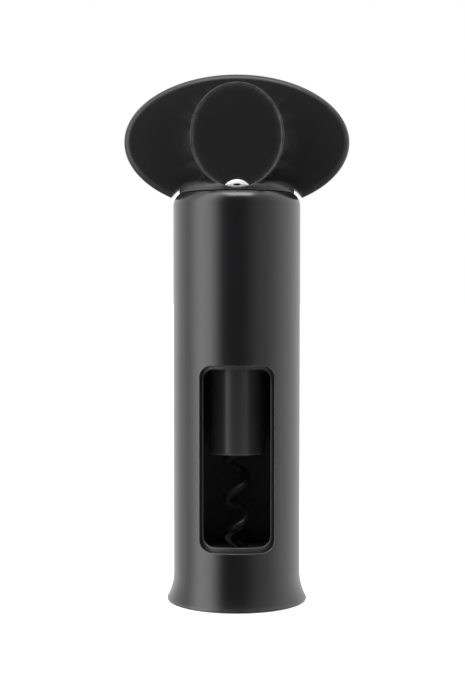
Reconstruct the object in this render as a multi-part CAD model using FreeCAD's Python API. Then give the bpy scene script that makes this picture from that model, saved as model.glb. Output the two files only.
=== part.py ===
"""Cylinder corkscrew with an oval wing handle.

Row frame, millimetres: origin at the centre of the foot's underside, +Z up the spindle, the window faces -Y.
Three bodies: the fixed body, the carriage that slides up inside it, and the handle that turns
in the carriage.
"""

import FreeCAD, Part
import math
import os

os.makedirs("parts", exist_ok=True)

V = FreeCAD.Vector
UP = V(0, 0, 1)
ORIGIN = V(0, 0, 0)

# ---- tools that cut ----
OVER = 1.0  # how far a cutter runs past the surface it opens
FAR = 30.0  # half the length of a cutter that goes right across
EPS = 1e-3

# ---- fits ----
RUN = 0.06
PRESS_PLAY = 0.02
PIN_PLAY = 0.01
LOOSE_PLAY = 0.1
SPIGOT_PLAY = 0.03
NECK_PLAY = 0.05
NECK_SHORT = 0.1
BUSH_SHORT = 0.2
WASHER_PLAY = 0.2
SOCKET_SPARE = 0.2

# ---- fixed body ----
SHELL_R = 21.0
SHELL_IN_R = 19.2
FOOT_R = 23.2
FOOT_EDGE = 0.4
FOOT_LIP_Z = 0.75
FLARE_Z = 9.2
FLARE_ARC_R = 17.5
SHOULDER_R = 5.0
SHOULDER_Z = 130.6
LEDGE_R = 19.25
CROWN_T = 2.0
CROWN_HOLE_R = 8.6

WIN_HALF_W = 11.95
WIN_Z0 = 18.7
WIN_Z1 = 78.55
WIN_CORNER_R = 3.8
WIN_CUT_Y0 = -25.0
WIN_CUT_Y1 = -8.0
LINER_R = 19.15
LINER_IN_R = 17.65
LINER_Z0 = 16.0
LINER_Z1 = 124.3
LINER_WIN_HALF_W = 10.85
LINER_WIN_Z0 = 20.2
LINER_WIN_Z1 = 77.45
LINER_WIN_CORNER_R = 3.4

SEAT_Z0 = 10.0
SEAT_HOLE_R = 13.0
SEAT_CONE_R = 16.5
SEAT_CONE_TOP = 14.0

BEARING_Z0 = 124.4
BEARING_R = 19.1
BEARING_POCKET_R = 9.5
BEARING_POCKET_TOP = 128.4
BEARING_BORE_R = 7.0
BEARING_CHAMFER = 4.0
BUSH_FLANGE_R = 8.5
BUSH_FLANGE_T = 1.0

SCREW_PCD_R = 13.6
SCREW_FIRST_DEG = 90.0
SCREW_COUNT = 3
SCREW_R = 1.25
SCREW_HEAD_R = 2.6
SCREW_HEAD_T = 1.5
SCREW_LENGTH = 7.5
SCREW_DRIVE_R = 0.8
SCREW_DRIVE_DEPTH = 0.7

KEY_RIB_IN_R = 15.9
KEY_RIB_HALF_W = 1.5
KEY_RIB_Z0 = 80.0
KEY_RIB_Z1 = 122.6

STOP_IN_R = 10.2
STOP_OUT_R = 15.4
STOP_T = 0.8

# ---- carriage ----
SLEEVE_R = 9.5
SLEEVE_IN_R = 7.9
SLEEVE_Z0 = 48.8
SLEEVE_Z1 = 83.2
SLEEVE_CHAMFER = 0.35
DISC_R = 17.35
DISC_Z1 = 88.0
DISC_SPIGOT_Z0 = 78.0
DISC_NOTCH_GAP = 0.3
WASHER_R = 8.4
WASHER_T = 0.9
LOWER_BUSH_Z0 = 62.0
LOWER_BUSH_Z1 = 70.0
PLUG_Z0 = 49.6
PLUG_Z1 = 52.2
PLUG_HOLE_R = 5.6

# ---- handle ----
HANDLE_Z = 151.6
WING_A = 37.2
WING_B = 22.35
WING_HALF_T = 3.5
WING_EDGE_R = 2.2
EAR_GAP = 1.4
CLEARANCE_DEPTH = 20.0
HUB_Z = 152.0
HUB_A = 15.0
HUB_B = 16.9
HUB_HALF_T = 17.5
HUB_EDGE = 0.35
HUB_FOOT_LIFT = 0.4
COVER_A = 14.1
COVER_B = 16.3
COVER_T = 2.0
COVER_SET_BACK = 0.25
COVER_PLAY = 0.04
POCKET_OVER = 4.0
FLANGE_Z0 = 134.7
FLANGE_R = 19.0
FLANGE_EDGE = 0.3
FLANGE_SIDE_TOP = 135.6
DOME_R = 52.5
DOME_TOP = 140.8
DOME_START_R = 17.6
DOME_EDGE_MID = (18.62, 136.8)
CAVITY_HALF_X = 7.4
CAVITY_Z0 = 142.0
CAVITY_Z1 = 156.0

KEY_ARCH_R = 5.0
KEY_ARCH_Z = 133.05
KEY_HALF_L = 17.4
KEY_PLAY = 0.05
KEY_DIMPLE_R = 1.5
KEY_DIMPLE_Z = 135.4
KEY_DIMPLE_FLOOR = 136.3
KEY_DIMPLE_DEPTH = 1.2

SPINDLE_R = 5.0
SPINDLE_Z0 = 62.3
STUD_R = 4.0
SPINDLE_NECK_Z = 141.0
STUD_Z1 = 150.6
COLLAR_R = 8.4
COLLAR_Z0 = 89.1
COLLAR_Z1 = 91.1
NUT_SIDES = 6
NUT_R = 7.0
NUT_T = 6.0
NUT_WASHER_R = 7.0
NUT_WASHER_T = 1.2
CLIP_R = 7.2
CLIP_T = 1.0
CLIP_Z0 = 60.7
CLIP_MOUTH_HALF_W = 2.2
CLIP_STUB_R = 3.6
STUB_Z0 = 59.6

# ---- worm ----
WIRE_R = 1.6
COIL_R = 3.15
COIL_PITCH = 12.4
COIL_LEFT_Z = 21.3
TIP_Z = 4.6
TIP_R = 0.18
TIP_TAPER_TURNS = 0.85
TIP_SWELL = 0.9
COIL_TOP_Z = 51.5
SHANK_START_Z = 59.4
SHANK_TOP_Z = 74.0
SECTIONS_PER_TURN = 18
PATH_STEP = 0.02
PIN_R = 0.8
PIN_Z = 66.5
PIN_HALF_L = 4.8


def save(shape, node):
    """Write one node, which is one or more closed solids."""
    solids = shape.Solids
    out = solids[0] if len(solids) == 1 else Part.makeCompound(solids)
    for solid in solids:
        if not solid.isValid() or solid.Volume <= 0:
            raise RuntimeError("bad solid in " + node)
    out.exportStep("parts/" + node + ".step")
    print(node, len(solids), "solid(s)", round(out.Volume / 1000, 2), "cm3")


def tube(r_out, r_in, z0, z1):
    """A plain ring between two heights."""
    outer = Part.makeCylinder(r_out, z1 - z0, V(0, 0, z0))
    inner = Part.makeCylinder(r_in, z1 - z0 + 2 * OVER, V(0, 0, z0 - OVER))
    return outer.cut(inner)


def line(a, b):
    """A straight edge between two (r, z) points in the XZ plane."""
    return Part.makeLine(V(a[0], 0, a[1]), V(b[0], 0, b[1]))


def arc(a, mid, b):
    """An arc through three (r, z) points in the XZ plane."""
    return Part.Arc(V(a[0], 0, a[1]), V(mid[0], 0, mid[1]), V(b[0], 0, b[1])).toShape()


def spin(edges):
    """Revolve a closed chain of edges about Z into a solid."""
    face = Part.Face(Part.Wire(Part.__sortEdges__(edges)))
    return face.revolve(ORIGIN, UP, 360)


def on_circle(centre, radius, degrees):
    """A point on a circle in the (r, z) plane."""
    a = math.radians(degrees)
    return (centre[0] + radius * math.cos(a), centre[1] + radius * math.sin(a))


def rounded_window(half_w, z0, z1, corner, y0, y1):
    """A prism along Y with rounded corners, used to cut windows."""
    box = Part.makeBox(2 * half_w, y1 - y0, z1 - z0, V(-half_w, y0, z0))
    long_edges = []
    for e in box.Edges:
        ends = [v.Point for v in e.Vertexes]
        if abs(ends[0].y - ends[1].y) > EPS:
            long_edges.append(e)
    return box.makeFillet(corner, long_edges)


def oval_prism(a, b, zc, y0, y1):
    """An ellipse in the XZ plane, wider or taller as given, extruded along Y."""
    if a >= b:
        curve = Part.Ellipse(V(a, 0, zc), V(0, 0, zc + b), V(0, 0, zc))
    else:
        curve = Part.Ellipse(V(0, 0, zc + b), V(a, 0, zc), V(0, 0, zc))
    face = Part.Face(Part.Wire(curve.toShape()))
    face.translate(V(0, y0, 0))
    return face.extrude(V(0, y1 - y0, 0))


def y_rod(radius, x, z, y0, y1):
    """A round rod along Y."""
    return Part.makeCylinder(radius, y1 - y0, V(x, y0, z), V(0, 1, 0))


# ---------------------------------------------------------------- fixed body


def make_shell():
    """Flared foot, tube and rounded shoulder, open at both ends."""
    flare_c = (SHELL_R + FLARE_ARC_R, FLARE_Z)
    lip_r = flare_c[0] - math.sqrt(FLARE_ARC_R**2 - (FLARE_Z - FOOT_LIP_Z) ** 2)
    flare_mid_z = 0.5 * (FLARE_Z + FOOT_LIP_Z)
    flare_mid_r = flare_c[0] - math.sqrt(FLARE_ARC_R**2 - (FLARE_Z - flare_mid_z) ** 2)
    shoulder_c = (SHELL_R - SHOULDER_R, SHOULDER_Z)
    cut_angle = math.degrees(math.acos((LEDGE_R - shoulder_c[0]) / SHOULDER_R))
    ledge = on_circle(shoulder_c, SHOULDER_R, cut_angle)
    crown_z = ledge[1] - CROWN_T
    inner_top = SHOULDER_Z
    inner_r = crown_z - inner_top
    corner_c = (SHELL_IN_R - inner_r, inner_top)
    edges = [
        line((SHELL_IN_R, 0), (FOOT_R - FOOT_EDGE, 0)),
        line((FOOT_R - FOOT_EDGE, 0), (lip_r, FOOT_LIP_Z * 0.5)),
        line((lip_r, FOOT_LIP_Z * 0.5), (lip_r, FOOT_LIP_Z)),
        arc((lip_r, FOOT_LIP_Z), (flare_mid_r, flare_mid_z), (SHELL_R, FLARE_Z)),
        line((SHELL_R, FLARE_Z), (SHELL_R, SHOULDER_Z)),
        arc((SHELL_R, SHOULDER_Z), on_circle(shoulder_c, SHOULDER_R, cut_angle / 2), ledge),
        line(ledge, (CROWN_HOLE_R, ledge[1])),
        line((CROWN_HOLE_R, ledge[1]), (CROWN_HOLE_R, crown_z)),
        line((CROWN_HOLE_R, crown_z), (corner_c[0], crown_z)),
        arc((corner_c[0], crown_z), on_circle(corner_c, inner_r, 45), (SHELL_IN_R, inner_top)),
        line((SHELL_IN_R, inner_top), (SHELL_IN_R, 0)),
    ]
    shell = spin(edges)
    window = rounded_window(WIN_HALF_W, WIN_Z0, WIN_Z1, WIN_CORNER_R, WIN_CUT_Y0, WIN_CUT_Y1)
    return shell.cut(window), ledge[1], crown_z


def make_liner():
    """Inner wall; its window is a step smaller than the shell's."""
    liner = tube(LINER_R, LINER_IN_R, LINER_Z0, LINER_Z1)
    window = rounded_window(
        LINER_WIN_HALF_W, LINER_WIN_Z0, LINER_WIN_Z1, LINER_WIN_CORNER_R, WIN_CUT_Y0, WIN_CUT_Y1
    )
    return liner.cut(window)


def make_seat():
    """Ring that centres the bottle's lip and lets the cork through."""
    return spin(
        [
            line((SEAT_CONE_R, SEAT_Z0), (LINER_R, SEAT_Z0)),
            line((LINER_R, SEAT_Z0), (LINER_R, LINER_Z0)),
            line((LINER_R, LINER_Z0), (SEAT_HOLE_R, LINER_Z0)),
            line((SEAT_HOLE_R, LINER_Z0), (SEAT_HOLE_R, SEAT_CONE_TOP)),
            line((SEAT_HOLE_R, SEAT_CONE_TOP), (SEAT_CONE_R, SEAT_Z0)),
        ]
    )


def screw_spots():
    """Centres of the bearing screws."""
    spots = []
    for i in range(SCREW_COUNT):
        a = math.radians(SCREW_FIRST_DEG + i * 360 / SCREW_COUNT)
        spots.append((SCREW_PCD_R * math.cos(a), SCREW_PCD_R * math.sin(a)))
    return spots


def screw_body(x, y, top):
    """Countersunk head and shank, without the drive recess."""
    head = Part.makeCone(SCREW_R, SCREW_HEAD_R, SCREW_HEAD_T, V(x, y, top - SCREW_HEAD_T))
    shank = Part.makeCylinder(SCREW_R, SCREW_LENGTH, V(x, y, top - SCREW_LENGTH))
    return head.fuse(shank)


def make_screws(top):
    """The bearing screws, alike, in one node."""
    solids = []
    for x, y in screw_spots():
        recess = Part.makeCylinder(
            SCREW_DRIVE_R, SCREW_DRIVE_DEPTH + OVER, V(x, y, top - SCREW_DRIVE_DEPTH)
        )
        solids.append(screw_body(x, y, top).cut(recess))
    return Part.makeCompound(solids)


def make_bearing(crown_z, ledge_z):
    """Block under the crown with a neck in the crown's hole."""
    block = Part.makeCylinder(BEARING_R, crown_z - BEARING_Z0, V(0, 0, BEARING_Z0))
    rims = []
    for e in block.Edges:
        if e.Curve.TypeId == "Part::GeomCircle" and e.BoundBox.ZMin > crown_z - EPS:
            rims.append(e)
    block = block.makeChamfer(BEARING_CHAMFER, rims)
    neck_h = ledge_z - crown_z - NECK_SHORT
    neck = Part.makeCylinder(CROWN_HOLE_R - NECK_PLAY, neck_h, V(0, 0, crown_z))
    bore = Part.makeCylinder(BEARING_BORE_R, 2 * FAR, V(0, 0, BEARING_Z0 - OVER))
    pocket = Part.makeCylinder(
        BEARING_POCKET_R, BEARING_POCKET_TOP - BEARING_Z0 + OVER, V(0, 0, BEARING_Z0 - OVER)
    )
    return block.fuse(neck).cut(bore).cut(pocket)


def make_bush(ledge_z):
    """Flanged bush that the spindle runs in."""
    barrel = tube(
        BEARING_BORE_R, SPINDLE_R + RUN, BEARING_POCKET_TOP - BUSH_FLANGE_T, ledge_z - BUSH_SHORT
    )
    flange = tube(
        BUSH_FLANGE_R, SPINDLE_R + RUN, BEARING_POCKET_TOP - BUSH_FLANGE_T, BEARING_POCKET_TOP
    )
    return barrel.fuse(flange)


def make_guide_keys():
    """Two ribs on the liner's wall, left and right, above the window."""
    liner_bore = Part.makeCylinder(LINER_IN_R, KEY_RIB_Z1, ORIGIN)
    solids = []
    for side in (-1, 1):
        x0 = KEY_RIB_IN_R if side > 0 else -LINER_IN_R - OVER
        bar = Part.makeBox(
            LINER_IN_R + OVER - KEY_RIB_IN_R,
            2 * KEY_RIB_HALF_W,
            KEY_RIB_Z1 - KEY_RIB_Z0,
            V(x0, -KEY_RIB_HALF_W, KEY_RIB_Z0),
        )
        solids.append(bar.common(liner_bore))
    return Part.makeCompound(solids)


# ---------------------------------------------------------------- carriage


def make_sleeve():
    """The smooth sleeve seen in the window."""
    sleeve = tube(SLEEVE_R, SLEEVE_IN_R, SLEEVE_Z0, SLEEVE_Z1)
    rims = []
    for e in sleeve.Edges:
        if e.Curve.TypeId == "Part::GeomCircle" and e.BoundBox.ZMax < SLEEVE_Z0 + EPS:
            rims.append(e)
    return sleeve.makeChamfer(SLEEVE_CHAMFER, rims)


def make_disc():
    """Carrier disc with a spigot for the sleeve and a notch for each guide key."""
    disc = tube(DISC_R, SPINDLE_R + RUN, SLEEVE_Z1, DISC_Z1)
    spigot = tube(SLEEVE_IN_R - SPIGOT_PLAY, SPINDLE_R + RUN, DISC_SPIGOT_Z0, SLEEVE_Z1)
    body = disc.fuse(spigot)
    half_w = KEY_RIB_HALF_W + DISC_NOTCH_GAP
    inner = KEY_RIB_IN_R - DISC_NOTCH_GAP
    for side in (-1, 1):
        x0 = inner if side > 0 else -DISC_R - OVER
        notch = Part.makeBox(
            DISC_R + OVER - inner,
            2 * half_w,
            DISC_Z1 - SLEEVE_Z1 + 2 * OVER,
            V(x0, -half_w, SLEEVE_Z1 - OVER),
        )
        body = body.cut(notch)
    return body


# ---------------------------------------------------------------- handle


def key_section(play):
    """Lens between the key's arch and the bottom of the cover's oval."""
    y0 = -KEY_HALF_L - play
    rod = y_rod(KEY_ARCH_R + play, 0, KEY_ARCH_Z, y0, -y0)
    oval = oval_prism(COVER_A + play, COVER_B + play, HUB_Z, y0, -y0)
    return rod.common(oval)


def make_key():
    """Cross key through hub and spindle, with a shallow mark in each end."""
    key = key_section(0)
    for side in (-1, 1):
        y_end = side * KEY_HALF_L
        y0 = y_end - KEY_DIMPLE_DEPTH if side > 0 else y_end - OVER
        mark = y_rod(KEY_DIMPLE_R, 0, KEY_DIMPLE_Z, y0, y0 + KEY_DIMPLE_DEPTH + OVER)
        above = Part.makeBox(2 * FAR, 2 * FAR, FAR, V(-FAR, -FAR, KEY_DIMPLE_FLOOR))
        key = key.cut(mark.common(above))
    return key


def make_flange():
    """Domed flange that covers the body's crown."""
    dome_c = DOME_TOP - DOME_R
    start = (DOME_START_R, dome_c + math.sqrt(DOME_R**2 - DOME_START_R**2))
    half = DOME_START_R / 2
    dome_mid = (half, dome_c + math.sqrt(DOME_R**2 - half**2))
    return spin(
        [
            line((0, FLANGE_Z0), (FLANGE_R - FLANGE_EDGE, FLANGE_Z0)),
            line((FLANGE_R - FLANGE_EDGE, FLANGE_Z0), (FLANGE_R, FLANGE_Z0 + FLANGE_EDGE)),
            line((FLANGE_R, FLANGE_Z0 + FLANGE_EDGE), (FLANGE_R, FLANGE_SIDE_TOP)),
            arc((FLANGE_R, FLANGE_SIDE_TOP), DOME_EDGE_MID, start),
            arc(start, dome_mid, (0, DOME_TOP)),
            line((0, DOME_TOP), (0, FLANGE_Z0)),
        ]
    )


def shoulder_clearance():
    """Volume that the wings stay out of: the crown plus the see-through gap under the ears."""
    r = SHOULDER_R + EAR_GAP
    centre = (SHELL_R - SHOULDER_R, SHOULDER_Z)
    cut_angle = math.degrees(math.acos((FLANGE_R - centre[0]) / r))
    inner = on_circle(centre, r, cut_angle)
    outer = on_circle(centre, r, 0)
    low = SHOULDER_Z - CLEARANCE_DEPTH
    return spin(
        [
            line((0, low), (outer[0], low)),
            line((outer[0], low), outer),
            arc(outer, on_circle(centre, r, cut_angle / 2), inner),
            line(inner, (0, inner[1])),
            line((0, inner[1]), (0, low)),
        ]
    )


def make_wings():
    """Oval plate with rounded rims, cut clear of the shoulder."""
    plate = oval_prism(WING_A, WING_B, HANDLE_Z, -WING_HALF_T, WING_HALF_T)
    rims = []
    for e in plate.Edges:
        if e.Curve.TypeId == "Part::GeomEllipse":
            rims.append(e)
    return plate.makeFillet(WING_EDGE_R, rims).cut(shoulder_clearance())


def make_hub():
    """Oval barrel with a small chamfer on both rims."""
    hub = oval_prism(HUB_A, HUB_B, HUB_Z, -HUB_HALF_T, HUB_HALF_T)
    rims = []
    for e in hub.Edges:
        if e.Curve.TypeId == "Part::GeomEllipse":
            rims.append(e)
    hub = hub.makeChamfer(HUB_EDGE, rims)
    above_flange = Part.makeBox(
        2 * FAR, 2 * FAR, 2 * FAR, V(-FAR, -FAR, FLANGE_Z0 + HUB_FOOT_LIFT)
    )
    return hub.common(above_flange)


def make_grip():
    """Wings, hub and flange in one moulding."""
    grip = make_wings().fuse(make_hub()).fuse(make_flange())
    a = COVER_A + COVER_PLAY
    b = COVER_B + COVER_PLAY
    floor_y = HUB_HALF_T - COVER_SET_BACK - COVER_T
    for side in (-1, 1):
        y0 = floor_y if side > 0 else -HUB_HALF_T - POCKET_OVER
        pocket = oval_prism(a, b, HUB_Z, y0, y0 + HUB_HALF_T + POCKET_OVER - floor_y)
        grip = grip.cut(pocket)
    cavity = Part.makeBox(
        2 * CAVITY_HALF_X,
        2 * HUB_HALF_T,
        CAVITY_Z1 - CAVITY_Z0,
        V(-CAVITY_HALF_X, -HUB_HALF_T, CAVITY_Z0),
    )
    bore_h = SPINDLE_NECK_Z - FLANGE_Z0 + OVER
    bore = Part.makeCylinder(SPINDLE_R + PRESS_PLAY, bore_h, V(0, 0, FLANGE_Z0 - OVER))
    web_h = CAVITY_Z0 - SPINDLE_NECK_Z + 2 * OVER
    stud_hole = Part.makeCylinder(STUD_R + LOOSE_PLAY, web_h, V(0, 0, SPINDLE_NECK_Z - OVER))
    return grip.cut(cavity).cut(bore).cut(stud_hole).cut(key_section(KEY_PLAY))


def make_cover(side):
    """Oval plate set into the hub, notched for the key's end."""
    outer_y = HUB_HALF_T - COVER_SET_BACK
    y0 = outer_y - COVER_T if side > 0 else -outer_y
    plate = oval_prism(COVER_A, COVER_B, HUB_Z, y0, y0 + COVER_T)
    notch = y_rod(KEY_ARCH_R + KEY_PLAY, 0, KEY_ARCH_Z, -FAR, FAR)
    return plate.cut(notch)


def make_spindle():
    """Rod with collar, threaded stud on top, clip stub below and a cross slot for the key."""
    rod = Part.makeCylinder(SPINDLE_R, SPINDLE_NECK_Z - SPINDLE_Z0, V(0, 0, SPINDLE_Z0))
    stud = Part.makeCylinder(STUD_R, STUD_Z1 - SPINDLE_NECK_Z, V(0, 0, SPINDLE_NECK_Z))
    collar = Part.makeCylinder(COLLAR_R, COLLAR_Z1 - COLLAR_Z0, V(0, 0, COLLAR_Z0))
    stub = Part.makeCylinder(CLIP_STUB_R, SPINDLE_Z0 - STUB_Z0, V(0, 0, STUB_Z0))
    body = rod.fuse(stud).fuse(collar).fuse(stub)
    socket_h = SHANK_TOP_Z - STUB_Z0 + OVER + SOCKET_SPARE
    socket = Part.makeCylinder(WIRE_R + PRESS_PLAY, socket_h, V(0, 0, STUB_Z0 - OVER))
    pin_hole = Part.makeCylinder(PIN_R + PIN_PLAY, 2 * FAR, V(-FAR, 0, PIN_Z), V(1, 0, 0))
    return body.cut(socket).cut(pin_hole).cut(key_section(KEY_PLAY))


def make_nut():
    """Plain hexagon nut on the stud."""
    z0 = CAVITY_Z0 + NUT_WASHER_T
    points = []
    for i in range(NUT_SIDES + 1):
        a = math.radians(360 / NUT_SIDES * i)
        points.append(V(NUT_R * math.cos(a), NUT_R * math.sin(a), z0))
    prism = Part.Face(Part.makePolygon(points)).extrude(V(0, 0, NUT_T))
    return prism.cut(Part.makeCylinder(STUD_R + PRESS_PLAY, NUT_T + 2 * OVER, V(0, 0, z0 - OVER)))


def make_clip():
    """Open retaining ring under the lower bush."""
    ring = tube(CLIP_R, CLIP_STUB_R + PRESS_PLAY, CLIP_Z0, CLIP_Z0 + CLIP_T)
    mouth = Part.makeBox(
        CLIP_R + OVER,
        2 * CLIP_MOUTH_HALF_W,
        CLIP_T + 2 * OVER,
        V(0, -CLIP_MOUTH_HALF_W, CLIP_Z0 - OVER),
    )
    return ring.cut(mouth)


def coil_point(z):
    """Where the wire's centre is at a height: the coil, then a blend in to the shank."""
    turn = (z - COIL_LEFT_Z) / COIL_PITCH + 0.5
    a = 2 * math.pi * turn
    r = COIL_R
    if z > COIL_TOP_Z:
        t = min(1.0, (z - COIL_TOP_Z) / (SHANK_START_Z - COIL_TOP_Z))
        r = COIL_R * (1 - t * t * (3 - 2 * t))
    return V(r * math.cos(a), r * math.sin(a), z)


def wire_radius(z):
    """Full wire, drawn down to a point over the last part of a turn."""
    reach = TIP_TAPER_TURNS * COIL_PITCH
    t = min(1.0, (z - TIP_Z) / reach)
    return TIP_R + (WIRE_R - TIP_R) * math.sin(0.5 * math.pi * t) ** TIP_SWELL


def placed_circle(centre, ahead, side, radius):
    """A circle across the path, with its seam on the side given."""
    other = ahead.cross(side)
    frame = FreeCAD.Matrix(
        side.x, other.x, ahead.x, centre.x,
        side.y, other.y, ahead.y, centre.y,
        side.z, other.z, ahead.z, centre.z,
        0, 0, 0, 1,
    )
    edge = Part.Circle(ORIGIN, UP, radius).toShape()
    edge.Placement = FreeCAD.Placement(frame)
    return Part.Wire(edge)


def make_worm():
    """Right-hand coil lofted through circles along its path, with a straight shank on top."""
    step = COIL_PITCH / SECTIONS_PER_TURN
    count = int(round((SHANK_START_Z - TIP_Z) / step))
    wires = []
    side = V(0, 0, 1)
    for i in range(count + 1):
        z = TIP_Z + (SHANK_START_Z - TIP_Z) * i / count
        ahead = coil_point(z + PATH_STEP).sub(coil_point(z - PATH_STEP))
        if i == count:
            ahead = V(0, 0, 1)
        ahead.normalize()
        side = side - ahead * side.dot(ahead)
        side.normalize()
        wires.append(placed_circle(coil_point(z), ahead, side, wire_radius(z)))
    coil = Part.makeLoft(wires, True, False)
    shank = Part.makeCylinder(WIRE_R, SHANK_TOP_Z - SHANK_START_Z, V(0, 0, SHANK_START_Z))
    pin_hole = Part.makeCylinder(PIN_R + PIN_PLAY, 2 * FAR, V(-FAR, 0, PIN_Z), V(1, 0, 0))
    return coil.fuse(shank.cut(pin_hole))


shell, LEDGE_Z, CROWN_Z = make_shell()
screw_holes = Part.makeCompound([screw_body(x, y, LEDGE_Z) for x, y in screw_spots()])
save(shell.cut(screw_holes), "body_shell")
save(make_liner(), "inner_liner")
save(make_seat(), "bottle_seat")
save(make_bearing(CROWN_Z, LEDGE_Z).cut(screw_holes), "top_bearing")
save(make_bush(LEDGE_Z), "spindle_bush")
save(make_screws(LEDGE_Z), "bearing_screws")
save(make_guide_keys(), "guide_keys")
save(tube(STOP_OUT_R, STOP_IN_R, BEARING_Z0 - STOP_T, BEARING_Z0), "stop_ring")

save(make_sleeve(), "guide_sleeve")
save(make_disc(), "carrier_disc")
save(tube(WASHER_R, SPINDLE_R + WASHER_PLAY, DISC_Z1, DISC_Z1 + WASHER_T), "thrust_washer")
save(tube(SLEEVE_IN_R, SPINDLE_R + RUN, LOWER_BUSH_Z0, LOWER_BUSH_Z1), "lower_bush")
save(tube(SLEEVE_IN_R, PLUG_HOLE_R, PLUG_Z0, PLUG_Z1), "sleeve_plug")

save(make_grip(), "handle_grip")
save(make_cover(-1), "front_cover")
save(make_cover(1), "rear_cover")
save(make_key(), "cross_key")
save(make_spindle(), "spindle")
save(tube(NUT_WASHER_R, STUD_R + LOOSE_PLAY, CAVITY_Z0, CAVITY_Z0 + NUT_WASHER_T), "spindle_washer")
save(make_nut(), "spindle_nut")
save(make_clip(), "spindle_clip")
save(make_worm(), "worm")
save(Part.makeCylinder(PIN_R, 2 * PIN_HALF_L, V(-PIN_HALF_L, 0, PIN_Z), V(1, 0, 0)), "worm_pin")
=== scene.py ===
# %% [markdown]
# # A cylinder corkscrew, one piece at a time
#
# The corkscrew is a dark satin tube with a flared foot, a tall window that shows a sleeve and a coiled worm,
# and an oval wing handle with a raised hub. The CAD frame already holds every piece at its true place and
# size in metres. This lesson rebuilds the pieces that people see with finer meshes, gives every piece a
# node-based finish, and then sets up a plain studio.

# %% Load the frame
import math

import bmesh
import bpy
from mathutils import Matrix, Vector


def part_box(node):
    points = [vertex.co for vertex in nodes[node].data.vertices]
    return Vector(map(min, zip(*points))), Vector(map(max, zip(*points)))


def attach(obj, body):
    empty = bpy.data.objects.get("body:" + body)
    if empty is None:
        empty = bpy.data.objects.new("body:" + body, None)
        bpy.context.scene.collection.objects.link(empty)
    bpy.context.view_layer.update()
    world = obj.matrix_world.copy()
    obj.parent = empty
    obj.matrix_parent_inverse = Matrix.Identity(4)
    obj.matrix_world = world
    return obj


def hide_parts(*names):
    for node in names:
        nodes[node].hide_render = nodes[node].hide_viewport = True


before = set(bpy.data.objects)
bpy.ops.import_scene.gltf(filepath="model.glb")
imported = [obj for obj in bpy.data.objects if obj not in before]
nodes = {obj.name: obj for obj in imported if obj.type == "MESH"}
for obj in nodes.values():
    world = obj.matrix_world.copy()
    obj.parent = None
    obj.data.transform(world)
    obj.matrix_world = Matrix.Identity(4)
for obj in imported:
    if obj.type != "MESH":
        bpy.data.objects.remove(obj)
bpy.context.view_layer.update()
MM = 0.001

# %% [markdown]
# ## Sizes that the pieces share
#
# Every length below is in millimetres, as a maker would say it, and is turned to metres when a mesh is made.
# Where the frame can say a size, it is read from a node's box, so the looks can't drift from the CAD.

# %% Shared sizes
SHELL_R = 21.0
SHELL_IN_R = 19.2
FLARE_Z = 9.2
FLARE_ARC_R = 17.5
FOOT_LIP_Z = 0.75
FOOT_LIP_ROUND = 0.35
SHOULDER_R = 5.0
SHOULDER_Z = 130.6
LEDGE_R = 19.25
CROWN_T = 2.0
CROWN_HOLE_R = 8.6
LINER_R = 19.15
LINER_IN_R = 17.65
WING_Z = 151.6
HUB_Z = 152.0
SHELL_WINDOW = (11.95, 18.7, 78.55, 3.8)
LINER_WINDOW = (10.85, 20.2, 77.45, 3.4)

shell_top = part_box("body_shell")[1].z / MM
liner_lo, liner_hi = [p.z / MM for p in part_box("inner_liner")]
sleeve_lo, sleeve_hi = [p.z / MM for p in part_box("guide_sleeve")]
print("shell top", round(shell_top, 2), "liner", round(liner_lo, 2), round(liner_hi, 2))

# %% [markdown]
# ## Helpers for meshes
#
# Most of the corkscrew is turned work, so a lathe helper spins a closed outline round the spindle's axis.
# Spin tools can leave doubles at the seam, so the rings are joined by index instead. Other helpers join rings
# with quads and close a ring with a fan. One makes an object from points and faces, smooths it, and keeps
# edges sharper than a chosen angle crisp.

# %% Mesh helpers
# Extra points this far from an edge keep the lightened edges narrow; that lightening is part rubbed wear and
# part painted highlight.
WEAR_AND_HIGHLIGHT_INSETS = (0.4, 1.2)
AXIS_R = 0.01


def new_object(name, data):
    """An object in the scene from a mesh, lamp or camera."""
    obj = bpy.data.objects.new(name, data)
    bpy.context.scene.collection.objects.link(obj)
    return obj


def make_object(name, points, faces, sharp=35):
    """A new object from points in millimetres, with outward faces."""
    mesh = bpy.data.meshes.new(name)
    mesh.from_pydata([[c * MM for c in p] for p in points], [], faces)
    bm = bmesh.new()
    bm.from_mesh(mesh)
    bmesh.ops.remove_doubles(bm, verts=bm.verts, dist=1e-6)
    bmesh.ops.recalc_face_normals(bm, faces=bm.faces)
    bm.to_mesh(mesh)
    bm.free()
    obj = new_object(name, mesh)
    soften(obj, sharp)
    return obj


def soften(obj, sharp=35):
    """Smooth shading, with edges past the angle kept sharp."""
    mesh = obj.data
    mesh.polygons.foreach_set("use_smooth", [True] * len(mesh.polygons))
    mesh.set_sharp_from_angle(angle=math.radians(sharp))


def bands(count, n):
    """Quads between neighbouring rings of n points."""
    return [
        (k * n + i, k * n + (i + 1) % n, (k + 1) * n + (i + 1) % n, (k + 1) * n + i)
        for k in range(count - 1)
        for i in range(n)
    ]


def add_fan(points, faces, k, n, middle):
    """Close ring k of n points with triangles to a middle point."""
    points.append(middle)
    faces += [(k * n + i, k * n + (i + 1) % n, len(points) - 1) for i in range(n)]


def lathe_mesh(outline, segments=160):
    """Points and faces of a closed (r, z) outline turned round the Z axis."""
    points, faces = [], []
    n = len(outline)
    for s in range(segments):
        a = 2 * math.pi * s / segments
        for r, z in outline:
            points.append((r * math.cos(a), r * math.sin(a), z))
    for s in range(segments):
        t = (s + 1) % segments
        for i in range(n):
            j = (i + 1) % n
            faces.append((s * n + i, t * n + i, t * n + j, s * n + j))
    return points, faces


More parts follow.
